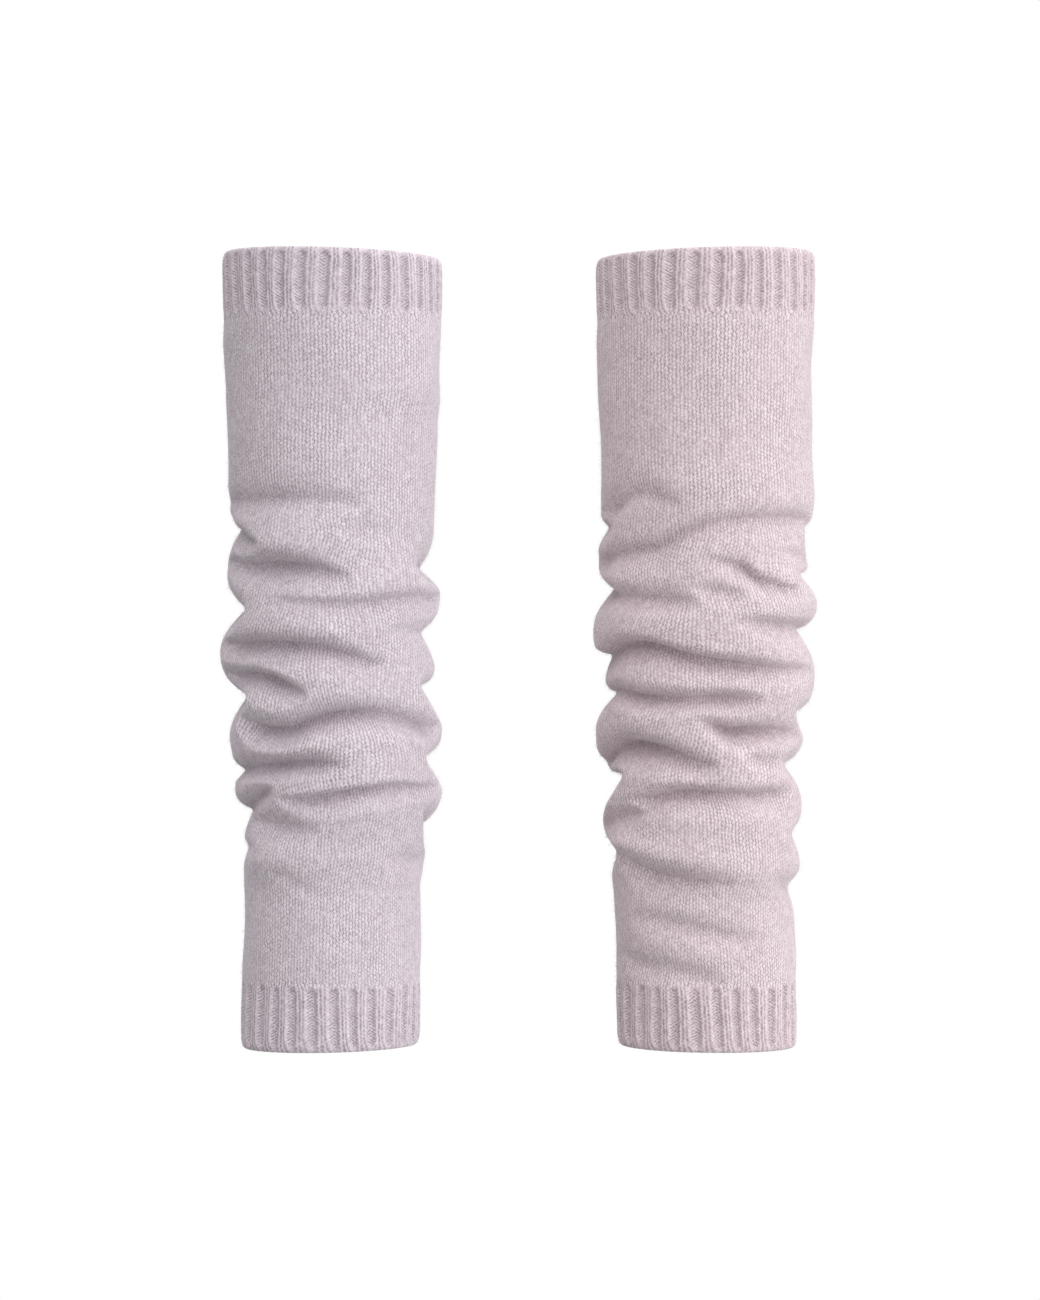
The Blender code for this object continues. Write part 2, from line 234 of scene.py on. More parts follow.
RIGHT_CREASES = (
    # front, from the top down
    Crease(16, 10, ((-100, -96, 0), (-84, -97, 1.5), (-68, -96.5, 4.6), (-50, -91.2, 3.5), (-32, -91.3, 3),
                    (-15, -95.8, 0))),
    Crease(11, 9, ((-130, -103, 0), (-96, -103.8, 4.3), (-78, -103.8, 4), (-60, -104.5, 0))),
    Crease(10, 13, ((-100, -117, 0), (-85, -118, 4), (-65, -116.5, 4), (-45, -114.3, 5.5),
                    (-28, -112.3, 5.5), (-15, -107.3, 5), (0, -103.8, 4), (15, -101.8, 4),
                    (35, -100.8, 4.2), (60, -100.3, 3.8), (80, -102.5, 0))),
    Crease(7, 18, ((62, -101.8, 0), (88, -104, 2.6), (130, -106, 0))),
    Crease(8, 11, ((-6, -118, 0), (2, -118.8, 1.2), (11, -120, 3.2), (20, -121.5, 6), (28, -126.3, 6.8),
                   (38, -128.8, 5.5), (50, -130.8, 3.5), (62, -131.3, 0))),
    Crease(6, 6, ((42, -115.8, 0), (58, -115.8, 1.2), (75, -118, 1.5), (90, -118, 0))),
    Crease(10, 10, ((54, -123.8, 0), (66, -124.2, 2), (78, -124.5, 5.5), (95, -124.5, 9), (130, -125, 0))),
    Crease(15, 9, ((-128, -129, 0), (-95, -129.5, 8.5), (-76, -132, 8), (-62, -133.3, 5),
                   (-45, -134.8, 4.5), (-28, -135.6, 4.8), (-14, -136.8, 3), (-5, -137.8, 0))),
    Crease(8, 8, ((-12, -131.3, 0), (0, -131.8, 3), (12, -133.3, 2.5), (20, -133.3, 0))),
    Crease(7, 11, ((14, -144.8, 0), (30, -144.8, 4), (45, -145.8, 5), (60, -145.8, 5), (72, -147, 4),
                   (82, -148, 0))),
    Crease(16, 12, ((52, -146, 0), (60, -146.5, 1.5), (70, -148, 6.5), (84, -149, 11), (100, -149.5, 12.5),
                    (135, -151, 0))),
    Crease(10, 13, ((-132, -158, 0), (-95, -159, 6), (-76, -159, 7.2), (-60, -155, 9), (-45, -153.3, 10.5),
                    (-30, -154.8, 10), (-15, -158.1, 9.5), (0, -160.5, 9.5), (20, -162.4, 8.5),
                    (40, -164.5, 5.5), (58, -165.3, 3.2), (75, -167, 0))),
    Crease(11, 12, ((-132, -175, 0), (-95, -175.5, 8), (-78, -175.5, 7.5), (-66, -175, 4), (-56, -175, 0))),
    Crease(12, 5.5, ((-82, -174, 0), (-70, -174.3, 5), (-58, -174.8, 7.5), (-42, -176.3, 9),
                     (-25, -177.3, 8.5), (-10, -177.5, 7), (3, -176.8, 8.2), (15, -177.1, 8.2),
                     (25, -178.4, 5), (34, -179.3, 0))),
    Crease(13, 10, ((60, -182.8, 0), (80, -184.5, 5), (95, -185, 7), (130, -186, 0))),
    Crease(11, 7, ((-6, -186.8, 0), (4, -188.3, 5), (14, -190, 10.5), (30, -190, 10.5), (45, -190.8, 8),
                   (60, -192.3, 4), (76, -195, 0))),
    Crease(15, 11, ((-120, -206, 0), (-85, -204.5, 7), (-68, -199.5, 9), (-54, -196.3, 12),
                    (-40, -196.8, 12.5), (-25, -198.6, 11), (-12, -202, 8.2), (0, -205.6, 5),
                    (9, -207.2, 0))),
    Crease(18, 15, ((-132, -210.5, 0), (-98, -211.3, 17), (-80, -211.3, 14), (-70, -211, 9.5),
                    (-60, -210.5, 4.5), (-50, -210.3, 0))),
    Crease(12, 10, ((20, -201.8, 0), (34, -204.3, 3), (50, -204.8, 1.5), (68, -206.5, 4), (78, -207, 3),
                    (88, -207, 0))),
    Crease(21, 14, ((48, -205.5, 0), (60, -206, 3), (74, -206.5, 7.5), (92, -207.5, 13.5), (130, -209, 0))),
    Crease(9.5, 12, ((-50, -221.5, 0), (-36, -220.2, 5.4), (-22, -217.4, 7.8), (-8, -216.8, 8.7),
                     (8, -217.5, 7.7), (25, -218, 6.6), (45, -218, 5.4), (60, -218.6, 0))),
    Crease(12, 6, ((-90, -234, 0), (-74, -231, 3), (-60, -228, 4.5), (-48, -227, 4.5), (-36, -226, 2),
                   (-28, -226, 0))),
    Crease(15, 11, ((60, -235.3, 0), (76, -236, 4.5), (95, -237.5, 6.5), (130, -240, 0))),
    Crease(10, 12, ((-135, -243, 0), (-95, -243, 4.5), (-75, -242.5, 4), (-60, -241.8, 0))),
    Crease(14, 12, ((-72, -243, 0), (-60, -245.8, 4), (-45, -250, 6), (-30, -253, 6), (-15, -255, 5.5),
                    (0, -256, 4), (18, -256.8, 0))),
    Crease(12, 11, ((40, -255.8, 0), (70, -258, 2.5), (95, -259.5, 3), (130, -260, 0))),
    Crease(11, 10, ((-58, -271, 0), (-34, -272.5, 3), (-14, -274.8, 3.8), (4, -277.3, 3.8),
                    (20, -279.3, 2.6), (38, -280, 0))),
    Crease(11, 9, ((-75, -288, 0), (-50, -291, 2.8), (-25, -293.5, 3.2), (-5, -296.3, 3), (12, -298, 0))),
    # back, from the top down
    Crease(12, 14, ((112, -104, 0), (155, -102, 3.5), (195, -99, 3.5), (238, -97, 0))),
    Crease(12, 12, ((160, -122, 0), (195, -124, 5), (230, -127, 5), (262, -129, 0))),
    Crease(10, 12, ((102, -125, 0), (140, -131, 6), (178, -135, 6), (215, -137, 0))),
    Crease(10, 12, ((105, -151, 0), (145, -147, 6.5), (188, -144, 6.5), (228, -143, 0))),
    Crease(10, 12, ((170, -169, 0), (200, -167, 6), (232, -164, 6), (262, -162, 0))),
    Crease(10, 12, ((100, -185, 0), (135, -181, 6.5), (168, -176, 6.5), (200, -173, 0))),
    Crease(9, 12, ((140, -192, 0), (180, -189, 7), (220, -184, 7), (255, -176, 0))),
    Crease(13, 12, ((100, -206, 0), (140, -211, 7.5), (178, -217, 7.5), (215, -221, 0))),
    Crease(13, 12, ((160, -204, 0), (195, -206, 8), (228, -210, 8), (260, -213, 0))),
    Crease(11, 11, ((105, -236, 0), (150, -236, 5.5), (200, -233, 5.5), (242, -229, 0))),
    Crease(10, 11, ((150, -250, 0), (185, -248, 5), (220, -244, 5), (252, -242, 0))),
    Crease(12, 11, ((110, -259, 0), (148, -261, 3.5), (186, -264, 3.5), (222, -267, 0))),
)

# A swell is a soft lump of cloth between creases, or a dent: its middle, how far it reaches round and up the
# tube, and how far it stands out
Swell = namedtuple("Swell", "azimuth height across along lift")
LEFT_SWELLS = (
    Swell(-32, -112, 26, 8, 3.2),
    Swell(-40, -247, 30, 9, 4.2),
)
RIGHT_SWELLS = (
    Swell(-20, -88, 26, 8, 1.2),
    Swell(-46, -124, 24, 7, 1.5),
    Swell(-40, -245, 34, 7.8, 5),
    Swell(-57, -240, 18, 5, 2.6),
    Swell(4, -250, 26, 10, 2.4),
    Swell(-100, -170.5, 30, 6, -3.2),
)

# A tilt is how far a rim drops from the middle of its cuff to the +X side
Warmer = namedtuple("Warmer", "side sections creases swells top_tilt bottom_tilt upper_ribs lower_ribs slot")
WARMERS = (
    Warmer("left", LEFT_SECTIONS, LEFT_CREASES, LEFT_SWELLS, 1.5, -0.8, 32, 27, "lilac_knit"),
    Warmer("right", RIGHT_SECTIONS, RIGHT_CREASES, RIGHT_SWELLS, -1.4, 0.4, 31, 27, "rose_knit"),
)


# ----------------------------------------
# What a user would change
def channels(code):
    """Red, green and blue of a hex colour, from 0 to 1."""
    return [int(code[start:start + 2], 16) / 255 for start in (1, 3, 5)]


class KnitSettings(bpy.types.PropertyGroup):
    wales: IntProperty(name="Wales", description="Columns of stitches round a body", default=86, min=40)
    course: FloatProperty(
        name="Course", description="Height of one row of stitches", default=0.0018, unit="LENGTH")
    fibres: IntProperty(name="Stray fibres", description="How many stand off one warmer", default=36000)
    fibre_width: FloatProperty(name="Fibre width", description="At its root", default=0.00013, unit="LENGTH")
    curl: FloatProperty(
        name="Curl", description="How far a rib leans to the right at its lower end, in ribs", default=0.28)
    rib_height: FloatProperty(
        name="Rib height", description="How far a rib stands out of the cuff", default=0.0015, unit="LENGTH")
    lilac: FloatVectorProperty(
        name="Lilac yarn", description="Colour of the left warmer", subtype="COLOR_GAMMA",
        default=channels("#CCC1C9"))
    rose: FloatVectorProperty(
        name="Rose yarn", description="Colour of the right warmer", subtype="COLOR_GAMMA",
        default=channels("#D2C3C8"))


class StageSettings(bpy.types.PropertyGroup):
    camera_distance: FloatProperty(
        name="Camera distance", description="From the pair's axes", default=1.8, unit="LENGTH")
    view_height: FloatProperty(
        name="View height", description="Height that the camera takes in at the axes", default=0.5642,
        unit="LENGTH")
    room: FloatProperty(name="Room light", description="Mean brightness all round", default=1.005)
    slant: FloatProperty(
        name="Slant", default=0.94,
        description="How much brighter it is from the upper right, and darker from the lower left")
    card: FloatProperty(
        name="Card", description="Watts of a pale card's glow on the left warmer, from between the two",
        default=0.02)


# ----------------------------------------
# The form of the cloth
def smooth_step(t):
    """3t^2 - 2t^3, held at 0 and 1 outside its range."""
    t = np.clip(t, 0.0, 1.0)
    return t * t * (3.0 - 2.0 * t)


def unit(vectors):
    """The same directions at length 1."""
    return vectors / np.linalg.norm(vectors, axis=-1, keepdims=True)


def reach_to_sides(sections, height):
    """Left and right reach at each height, by a smooth step from one section to the next."""
    rows = np.array(sections)[::-1]
    index = np.clip(np.searchsorted(rows[:, 0], height) - 1, 0, len(rows) - 2)
    t = smooth_step((height - rows[index, 0]) / (rows[index + 1, 0] - rows[index, 0]))
    return [rows[index, column] * (1 - t) + rows[index + 1, column] * t for column in (1, 2)]


def rolled_edge(distance, reach, bottom):
    """A crease in section: 1 at its bottom, then a quarter round that levels out at its reach."""
    t = np.clip(np.sqrt(distance ** 2 + bottom ** 2) / reach, 0.0, 1.0)
    deepest = 1.0 - np.sqrt(1.0 - (1.0 - np.clip(bottom / reach, 0.0, 0.9)) ** 2)
    return (1.0 - np.sqrt(1.0 - (1.0 - t) ** 2)) / deepest


def round_the_tube(azimuth, start):
    """The same azimuth less or plus whole turns, so that it counts up from 20 degrees before the start."""
    return (azimuth - start + 20.0) % 360.0 + start - 20.0


def through(points, column, azimuth):
    """A smooth line through one column of the points: a cubic from each to the next, and at each the slope of
    the parabola through it and its neighbours. Level outside the first and last."""
    knots, values = np.array(points, float)[:, (0, column)].T
    slopes = np.gradient(values, knots)
    index = np.clip(np.searchsorted(knots, azimuth) - 1, 0, len(knots) - 2)
    span = knots[index + 1] - knots[index]
    t = np.clip((azimuth - knots[index]) / span, 0.0, 1.0)
    return (values[index] * (1 + 2 * t) * (1 - t) ** 2 + slopes[index] * span * t * (1 - t) ** 2
            + values[index + 1] * t * t * (3 - 2 * t) - slopes[index + 1] * span * t * t * (1 - t))


def crease_depth(creases, azimuth, height):
    """How deep the cloth lies in its creases: the cube root of the sum of their cubed depths, so where two
    creases meet, it is nearly the deeper of them. The heights are those before the cloth droops."""
    total = np.zeros(height.shape)
    for crease in creases:
        along = round_the_tube(azimuth, crease.points[0][0])
        deep = np.maximum(through(crease.points, 2, along), 0.0)
        path = through(crease.points, 1, along) - DROOP * deep
        deepest = max(point[2] for point in crease.points)
        narrow = CREASE_END + (1.0 - CREASE_END) * deep / deepest
        bottom = max(CREASE_BOTTOM, SOFT_BOTTOM - BOTTOM_PER_DEPTH * deepest)
        reach = np.where(height >= path, crease.above, crease.below) * narrow
        total += (deep * rolled_edge(height - path, reach, bottom)) ** 3
    return np.cbrt(total)


def swell_lift(swells, azimuth, height):
    """How far the lumps and dents between the creases stand out: a bell curve both ways for each."""
    total = np.zeros(height.shape)
    for swell in swells:
        aside = (azimuth - swell.azimuth + 180.0) % 360.0 - 180.0
        above = height - swell.height
        total += swell.lift * np.exp(-(aside / swell.across) ** 2 - (above / swell.along) ** 2)
    return total


def waver(azimuth, height):
    """The unevenness of soft cloth, in mm: four slow waves that run round and down the tube."""
    turn = np.radians(azimuth)
    return (0.28 * np.sin(3 * turn + height / 17.0 + 1.1) + 0.22 * np.sin(5 * turn - height / 11.0)
            + 0.16 * np.sin(8 * turn + height / 23.0 + 2.0) + 0.12 * np.sin(2 * turn + height / 6.5 + 0.4))


def skew(azimuth, height):
    """How far the slouch drags the columns of stitches aside, in wales: two waves that run round and down it,
    and fade out towards its ends."""
    turn = np.radians(azimuth)
    slouched = smooth_step((SLOUCH_TOP - 10.0 - height) / 20.0)
    slouched = slouched * smooth_step((height - SLOUCH_BOTTOM - 25.0) / 20.0)
    drag = 0.5 * np.sin(2 * turn + height / 7.0 + 0.6) + 0.4 * np.sin(3 * turn - height / 11.0 + 2.2)
    return slouched * drag


def node_box(side, piece):
    """Lowest and highest corner of one of the warmer's solids, in mm."""
    low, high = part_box(side + "_" + piece)
    return np.array(low) / MM, np.array(high) / MM


def axis_x(side):
    """Where the arm's axis is, from the mount that holds this warmer, in mm."""
    for mount in frame["record"]["mounts"]:
        if mount["name"] == side + "_arm":
            return mount["pos_m"][0] / MM
    raise RuntimeError("no mount for the " + side + " arm")


def cuff_heights(warmer):
    """Rim and seam of the upper cuff, seam and rim of the lower one, from the solids, in mm."""
    upper_low, upper_high = node_box(warmer.side, "upper_cuff")
    body_low, body_high = node_box(warmer.side, "body")
    lower_low, lower_high = node_box(warmer.side, "lower_cuff")
    upper_rim = upper_high[2] - abs(warmer.top_tilt)
    lower_rim = lower_low[2] + abs(warmer.bottom_tilt)
    return upper_rim, (upper_low[2] + body_high[2]) / 2, (lower_high[2] + body_low[2]) / 2, lower_rim


def on_the_cloth(warmer, azimuth, height, proud):
    """Points on the warmer, in metres: an ellipse between both reaches, less the creases, plus the swells and
    proud mm, all taken outwards. A bulge hangs over its crease. Both rims tilt."""
    left, right = reach_to_sides(warmer.sections, height)
    upper_rim, upper_seam, lower_seam, lower_rim = cuff_heights(warmer)
    in_body = smooth_step((upper_seam - height) / CALM) * smooth_step((height - lower_seam) / CALM)
    depth = crease_depth(warmer.creases, azimuth, height)
    lift = swell_lift(warmer.swells, azimuth, height) + waver(azimuth, height) * in_body
    stand = proud - depth + lift
    half_width = (right - left) / 2
    turn = np.radians(azimuth)
    x = axis_x(warmer.side) + (left + right) / 2 + (half_width + stand) * np.sin(turn)
    y = -(half_width * DEPTH_RATIO + stand) * np.cos(turn)
    top = np.clip((height - upper_seam) / (upper_rim - upper_seam), 0.0, 1.2) * warmer.top_tilt
    bottom = np.clip((lower_seam - height) / (lower_seam - lower_rim), 0.0, 1.2) * warmer.bottom_tilt
    z = height + DROOP * depth - (top + bottom) * np.sin(turn)
    return np.stack((x, y, z), axis=-1) * MM


def add_mesh(name, points, faces):
    """An object in the scene, made of points in metres and faces that all have as many corners."""
    mesh = bpy.data.meshes.new(name)
    mesh.vertices.add(points.size // 3)
    mesh.vertices.foreach_set("co", points.astype(np.float32).ravel())
    mesh.loops.add(faces.size)
    mesh.loops.foreach_set("vertex_index", faces.astype(np.int32).ravel())
    corners = faces.shape[-1]
    mesh.polygons.add(faces.size // corners)
    mesh.polygons.foreach_set("loop_start", np.arange(0, faces.size, corners, dtype=np.int32))
    mesh.update(calc_edges=True)
    mesh.shade_smooth()
    piece = bpy.data.objects.new(name, mesh)
    bpy.context.scene.collection.objects.link(piece)
    return piece


def closed_shell(name, points, stitches):
    """A mesh whose grid of points closes on itself both ways, like a ring: columns run round the tube, rows
    run up its outside and down its inside. stitches has one more row and column, for the UV map."""
    rows, columns = points.shape[:2]
    index = np.arange(rows * columns).reshape(rows, columns)
    right = np.roll(index, -1, axis=1)
    faces = np.stack((index, right, np.roll(right, -1, axis=0), np.roll(index, -1, axis=0)), axis=-1)
    piece = add_mesh(name, points, faces)
    corners = np.stack((stitches[:-1, :-1], stitches[:-1, 1:], stitches[1:, 1:], stitches[1:, :-1]), axis=2)
    piece.data.uv_layers.new(name="stitches").data.foreach_set("uv", corners.astype(np.float32).ravel())
    return piece


def length_up(points):
    """Distance up each column of points from the first row, in mm."""
    steps = np.linalg.norm(np.diff(points, axis=0), axis=2) / MM
    return np.vstack((np.zeros((1, points.shape[1])), np.cumsum(steps, axis=0)))


def wrapped(grid):
    """The same grid with its first column and first row again at the end."""
    grid = np.concatenate((grid, grid[:, :1]), axis=1)
    return np.concatenate((grid, grid[:1]), axis=0)


def add_values(piece, name, values):
    """One number on each point, for the material to read."""
    attribute = piece.data.attributes.new(name, "FLOAT", "POINT")
    attribute.data.foreach_set("value", values.astype(np.float32).ravel())


def body_rows(top, bottom, spaced=1.0):
    """Heights up the body from the bottom, evenly spaced, and closer together between the slouch's ends.
    spaced widens them all."""
    zones = ((bottom, SLOUCH_BOTTOM, PLAIN_SPACING), (SLOUCH_BOTTOM, SLOUCH_TOP, SLOUCH_SPACING),
             (SLOUCH_TOP, top, PLAIN_SPACING))
    heights = []
    for low, high, spacing in zones:
        count = round((high - low) / (spacing * spaced))
        heights.append(np.linspace(low, high, count, endpoint=False))
    return np.concatenate(heights + [[top]])


def tucked(warmer, height):
    """How far the body's end has slipped into a cuff's wall, by a smooth step past the seam from 0 to 1. It
    has one value to a row."""
    _, upper_seam, lower_seam, _ = cuff_heights(warmer)
    past = np.maximum(height - upper_seam, lower_seam - height)
    return smooth_step((past - TUCK_START) / TUCK_STRETCH)[:, None]


def make_body(warmer):
    """The plain tube: its outside on the cloth's form, its inside WALL mm further in, with fewer rows of
    points. It thins where it slips into the walls of the cuffs. Courses of stitches are counted by the length
    of cloth up each column, stretched so that all columns have as many, and wales by azimuth."""
    knit = bpy.context.scene.arm_warmer_knit
    _, upper_seam, lower_seam, _ = cuff_heights(warmer)
    azimuth = np.linspace(0.0, 360.0, BODY_COLUMNS, endpoint=False) - 180.0
    outside = body_rows(upper_seam + OVERLAP, lower_seam - OVERLAP)
    inside = body_rows(upper_seam + OVERLAP, lower_seam - OVERLAP, INSIDE_SPACING)[::-1]
    outer = on_the_cloth(warmer, *np.meshgrid(azimuth, outside),
                         -BODY_INSET - TUCK_OUTSIDE * tucked(warmer, outside))
    inner = on_the_cloth(warmer, *np.meshgrid(azimuth, inside),
                         TUCK_INSIDE * tucked(warmer, inside) - BODY_INSET - WALL)
    points = np.concatenate((outer, inner))

    climb = length_up(outer)
    courses = climb / climb[-1:] * np.mean(climb[-1]) * MM / knit.course
    inner_courses = np.linspace(courses[-1], courses[0], len(inside))
    grid = np.meshgrid(azimuth, np.concatenate((outside, inside)))
    across = (grid[0] + 180.0) / 360.0 * knit.wales + skew(*grid)
    stitches = wrapped(np.stack((across, np.concatenate((courses, inner_courses))), axis=-1))
    stitches[:, -1, 0] += knit.wales
    piece = closed_shell(warmer.side + "_body_knit", points, stitches)
    # painted shade: the deeper the cloth lies in a crease, the darker its knit is drawn
    pressed = np.clip(crease_depth(warmer.creases, *grid) / CREASE_SHADE_DEPTH, 0.0, 1.0) ** 2
    add_values(piece, "pressed", pressed)
    piece.data.materials.append(knit_material(warmer, "body"))
    return piece


def make_cuff(warmer, name, ribs, rim, seam):
    """A ribbed cuff: the cloth's form with panels sunk between its ribs, a rim that draws in and rolls over
    half a round of the wall's thickness, and a plain inside. A rib rises at its left foot and sinks at its
    right one by smooth steps. The panel after it starts in an arch, a parabola, at an uneven height past the
    seam, and ends in another short of the rim. The end at the seam rises out of the body."""
    knit = bpy.context.scene.arm_warmer_knit
    columns = ribs * CUFF_SAMPLES_PER_RIB
    azimuth = np.linspace(0.0, 360.0, columns, endpoint=False) - 180.0
    up = 1.0 if rim > seam else -1.0
    round_off = WALL / 2
    start = seam - up * OVERLAP
    edge = rim - up * round_off
    rows = round(abs(edge - start) / CUFF_ROW_HEIGHT)
    turn = np.linspace(0.0, np.pi, RIM_ROWS + 2)[1:-1]
    height = np.concatenate((np.linspace(start, edge, rows), edge + up * round_off * np.sin(turn),
                             np.linspace(edge, start, CUFF_INSIDE_ROWS)))
    inset = np.concatenate((np.zeros(rows), round_off * (1 - np.cos(turn)), np.full(CUFF_INSIDE_ROWS, WALL)))
    azimuth, height = np.meshgrid(azimuth, height)
    inset = np.broadcast_to(inset[:, None], height.shape)

    around = np.radians(azimuth)
    from_seam = (height - seam) * up
    from_rim = (rim - height) * up
    rib = (azimuth + 180.0) / 360.0 * ribs
    phase = rib % 1.0
    # Ribs wander a little, and lean to the right over their lower ends
    lower_end = from_seam + 1.0 if up > 0 else from_rim
    low = np.clip(1.0 - lower_end / CURL_HEIGHT, 0.0, 1.0)
    lean = 0.06 * np.sin(7 * around + 1.0) + 0.05 * np.sin(3 * around + height / 9.0)
    lean = lean + knit.curl * np.sin(np.pi * phase) ** 2 * low ** 2
    # Panels grow from nothing past the seam, and shrink to nothing short of the rim
    arch = ARCH * ((phase - PANEL_MIDDLE) / PANEL_HALF) ** 2
    uneven = PANEL_UNEVEN * np.sin(np.floor(rib) * 3.1)
    grown = (smooth_step((from_seam - PANEL_START - arch + uneven) / PANEL_START_STRETCH)
             * smooth_step((from_rim - PANEL_END - arch) / PANEL_END_STRETCH))
    foot = (phase + LEFT_FOOT) % 1.0
    sunk = 1.0 - smooth_step(foot / LEFT_SLOPE) * smooth_step((RIGHT_FOOT - foot) / RIGHT_SLOPE)
    shown = np.clip(1.0 - inset / WALL, 0.0, 1.0)  # 1 outside, 0 inside
    risen = smooth_step((from_seam + OVERLAP) / (1.8 * OVERLAP))  # 0 at the end under the body
    drawn = RIM_DRAW * np.clip(1.0 - from_rim / RIM_STRETCH, 0.0, 1.0) ** 2
    proud = RIB_STAND * grown - sunk * grown * knit.rib_height / MM - drawn
    points = on_the_cloth(warmer, azimuth + lean * 360.0 / ribs, height,
                          proud * shown - CUFF_SINK * (1.0 - risen) - inset)
    course = from_seam * MM / knit.course
    ribbed = smooth_step((from_seam + uneven) / PLAIN_TO_RIB)
    panel = (grown * smooth_step((phase - LOOPS_START) / LOOPS_FADE_IN)
             * smooth_step((1.0 - phase) / LOOPS_FADE_OUT))
    if up < 0:          # built downwards, so the rows are turned over to keep the faces outwards
        points, course, rib, panel, ribbed = (grid[::-1] for grid in (points, course, rib, panel, ribbed))
    stitches = wrapped(np.stack((rib, course), axis=-1))
    stitches[:, -1, 0] += ribs
    piece = closed_shell(name, points, stitches)
    add_values(piece, "panel", panel)
    add_values(piece, "ribbed", ribbed)
    piece.data.materials.append(knit_material(warmer, "cuff"))
    return piece


def make_nap(warmer):
    """Stray fibres that stand off the whole outside: thin three-sided spikes, each from its root in the
    cloth, out along the cloth's normal but thrown aside at random."""
    knit = bpy.context.scene.arm_warmer_knit
    rng = np.random.default_rng(7 if warmer.side == "left" else 11)
    upper_rim, upper_seam, lower_seam, lower_rim = cuff_heights(warmer)
    count = knit.fibres
    azimuth = rng.uniform(-180.0, 180.0, count)
    height = rng.uniform(lower_rim + NAP_MARGIN, upper_rim - NAP_MARGIN, count)
    sunk = np.where((height > upper_seam) | (height < lower_seam), ROOT_IN_CUFF, ROOT_IN_BODY)
    root = on_the_cloth(warmer, azimuth, height, -sunk)
    along = on_the_cloth(warmer, azimuth + NUDGE, height, -sunk) - root
    up = on_the_cloth(warmer, azimuth, height + NUDGE, -sunk) - root
    normal = unit(np.cross(along, up))
    way = unit(normal + NAP_THROWN * unit(rng.normal(size=(count, 3))))
    length = (NAP_REACH + sunk + rng.gamma(2.0, 0.4, count).clip(0.0, NAP_EXTRA)) * MM
    aside = unit(np.cross(way, (0.3, 0.5, 0.8)))        # square to the fibre, and so is across
    across = np.cross(way, aside)
    turn = np.radians((0.0, 120.0, 240.0))[:, None, None]
    ring = root + 0.5 * knit.fibre_width * (np.cos(turn) * aside + np.sin(turn) * across)
    points = np.concatenate((ring, (root + way * length[:, None])[None])).transpose(1, 0, 2)
    faces = np.array(((0, 2, 1), (0, 1, 3), (1, 2, 3), (2, 0, 3))) + 4 * np.arange(count)[:, None, None]
    piece = add_mesh(warmer.side + "_nap", points, faces)
    piece.data.materials.append(fibre_material(warmer))
    return piece


# ----------------------------------------
# Materials
MATH = "ShaderNodeMath"
WALES_PER_RIB = 2.75        # where a rib comes out of plain knitting
LEGS_PER_WALE = 2.0
COLUMNS_PER_RIB = 6.0       # of loops, three on the rib's legs and three on its panel
LOOPS_PER_COURSE = 1.35     # on a panel
LOOPS_SLANT = 5.0           # loops that a level line crosses in the width of one rib and panel
# How each knit is drawn: its name, how many columns of loops a wale or rib has, how far the yarn strays
# aside, in wales or ribs, and up, in courses, how clearly the stitches show through the nap, and its sheen
Finish = namedtuple("Finish", "name columns aside up clear sheen")
FINISHES = {
    "body": Finish("_brushed_wool_jersey", LEGS_PER_WALE, 0.5, 1.2, 1.5, 0.9),
    "cuff": Finish("_brushed_wool_rib", COLUMNS_PER_RIB, 0.12, 0.8, 2.2, 0.5),
}
SHADE_AND_DARK_TONE = (0.6, 0.545, 0.58)      # red, green and blue of the painted shade between the loops and in the creases, and of the darkest random tone, against the yarn's: a stronger hue
ON_LOOPS = (1.19, 1.225, 1.2)           # and where the nap catches the light: paler and greyer
VEIL_PATCH = 18.0           # across a patch where the nap is thicker
FLECK = 2.6                 # a lump in the yarn
FIBRE_GRAIN = 0.77          # fibres lying side by side: finer ones would not show
# Across one rib, from left to right: where the yarn stands high, on its three legs, and where it lies low
RIB_LEGS = ((0.0, 0.5), (1.0, 0.5), (0.07, 0.46), (0.15, 0.92), (0.24, 0.25), (0.33, 0.92), (0.41, 0.36),
            (0.49, 0.86), (0.54, 0.82), (0.63, 0.68), (0.85, 0.64))


def linear(colour):
    """sRGB channels as the linear values that a shader takes."""
    return [c / 12.92 if c <= 0.04045 else ((c + 0.055) / 1.055) ** 2.4 for c in colour]


def solid(code):
    """A hex colour as a shader takes it, with nothing see-through."""
    return linear(channels(code)) + [1.0]


def yarn(warmer):
    """The colour of a warmer's yarn, as linear values."""
    knit = bpy.context.scene.arm_warmer_knit
    return linear(knit.lilac if warmer.side == "left" else knit.rose)


def add_node(tree, kind, inputs=(), out=0, **settings):
    """Adds a node with its settings, and gives one of its outputs. The inputs, in order or by name, are
    values or other nodes' outputs to link."""
    made = tree.nodes.new(kind)
    for name, value in settings.items():
        setattr(made, name, value)
    for socket, value in (inputs if isinstance(inputs, dict) else dict(enumerate(inputs))).items():
        if isinstance(value, bpy.types.NodeSocket):
            tree.links.new(value, made.inputs[socket])
        else:
            made.inputs[socket].default_value = value
    return made.outputs[out]


def wave(add, turns):
    """The cosine of so many whole turns."""
    return add(MATH, (add(MATH, (turns, 2 * math.pi), operation="MULTIPLY"),), operation="COSINE")


